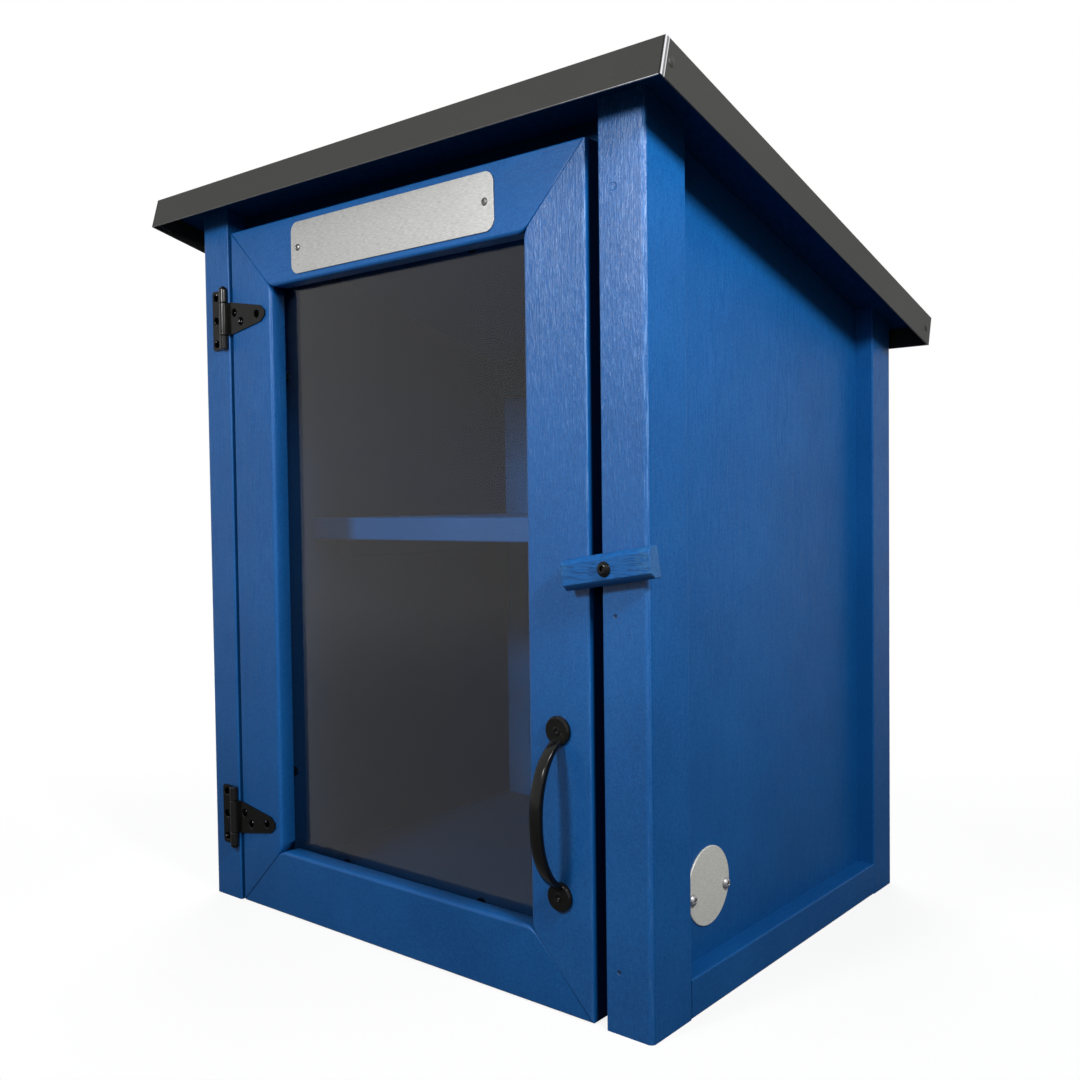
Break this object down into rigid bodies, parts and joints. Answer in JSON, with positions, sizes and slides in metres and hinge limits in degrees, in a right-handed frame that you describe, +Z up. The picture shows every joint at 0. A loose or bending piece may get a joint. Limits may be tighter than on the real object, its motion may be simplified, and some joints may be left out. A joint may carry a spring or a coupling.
{
  "type": "street book exchange box",
  "caption": "Small painted wooden cabinet for sharing books outdoors, with a sloped folded metal roof, a glazed hinged door, a pull handle and a wooden turn latch.",
  "frame": {"origin": "on the ground, under the middle of the overall box", "axes": "+X to the right seen from the front, +Y to the back, +Z up; the glazed door faces -Y"},
  "size_m": [0.5608, 0.4512, 0.6473],
  "materials": {
    "blue_paint": "satin exterior paint, brushed along the boards",
    "roof_sheet": "dark grey powder coat, fine speckle, bare cut edge at the front",
    "black_metal": "black coated iron, satin",
    "aluminium": "brushed, bare",
    "screw_steel": "zinc plated",
    "pane": "clear, polished"
  },
  "bodies": {
    "cabinet": {"front_post_left": "blue_paint", "front_post_right": "blue_paint", "side_panel_left": "blue_paint", "side_panel_right": "blue_paint", "side_rail_left": "blue_paint", "side_rail_right": "blue_paint", "back_trim_left": "blue_paint", "back_trim_right": "blue_paint", "shelf_cleat_left": "blue_paint", "shelf_cleat_right": "blue_paint", "back_panel": "blue_paint", "floor_board": "blue_paint", "front_sill": "blue_paint", "front_header": "blue_paint", "back_rail": "blue_paint", "shelf_board": "blue_paint", "roof_deck": "blue_paint", "roof_cap": "roof_sheet", "roof_rivet_front_left": "roof_sheet", "roof_rivet_front_right": "roof_sheet", "roof_rivet_back_left": "roof_sheet", "roof_rivet_back_right": "roof_sheet", "hinge_leaf_upper": "black_metal", "hinge_leaf_lower": "black_metal", "hinge_pin_upper": "black_metal", "hinge_pin_lower": "black_metal", "hinge_leaf_screw_upper_1": "black_metal", "hinge_leaf_screw_upper_2": "black_metal", "hinge_leaf_screw_upper_3": "black_metal", "hinge_leaf_screw_lower_1": "black_metal", "hinge_leaf_screw_lower_2": "black_metal", "hinge_leaf_screw_lower_3": "black_metal", "latch_washer": "screw_steel", "latch_screw": "black_metal", "medallion_disc": "aluminium", "medallion_screw_front": "screw_steel", "medallion_screw_back": "screw_steel"},
    "door": {"door_stile_hinge": "blue_paint", "door_stile_latch": "blue_paint", "door_rail_top": "blue_paint", "door_rail_bottom": "blue_paint", "door_pane": "pane", "hinge_strap_upper": "black_metal", "hinge_strap_lower": "black_metal", "hinge_strap_screw_upper_1": "black_metal", "hinge_strap_screw_upper_2": "black_metal", "hinge_strap_screw_upper_3": "black_metal", "hinge_strap_screw_lower_1": "black_metal", "hinge_strap_screw_lower_2": "black_metal", "hinge_strap_screw_lower_3": "black_metal", "pull_handle": "black_metal", "handle_screw_top": "black_metal", "handle_screw_bottom": "black_metal", "sign_plate": "aluminium", "sign_screw_left": "screw_steel", "sign_screw_right": "screw_steel"},
    "latch": {"latch_bar": "blue_paint"}
  },
  "joints": [
    {"name": "door_hinge", "type": "hinge", "parent": "cabinet", "child": "door", "pos_m": [-0.2115, -0.19746, 0.3], "axis": [0, 0, -1], "range_deg": [0, 175]},
    {"name": "latch_turn", "type": "hinge", "parent": "cabinet", "child": "latch", "pos_m": [0.219, -0.19536, 0.318], "axis": [0, -1, 0], "continuous": true}
  ]
}
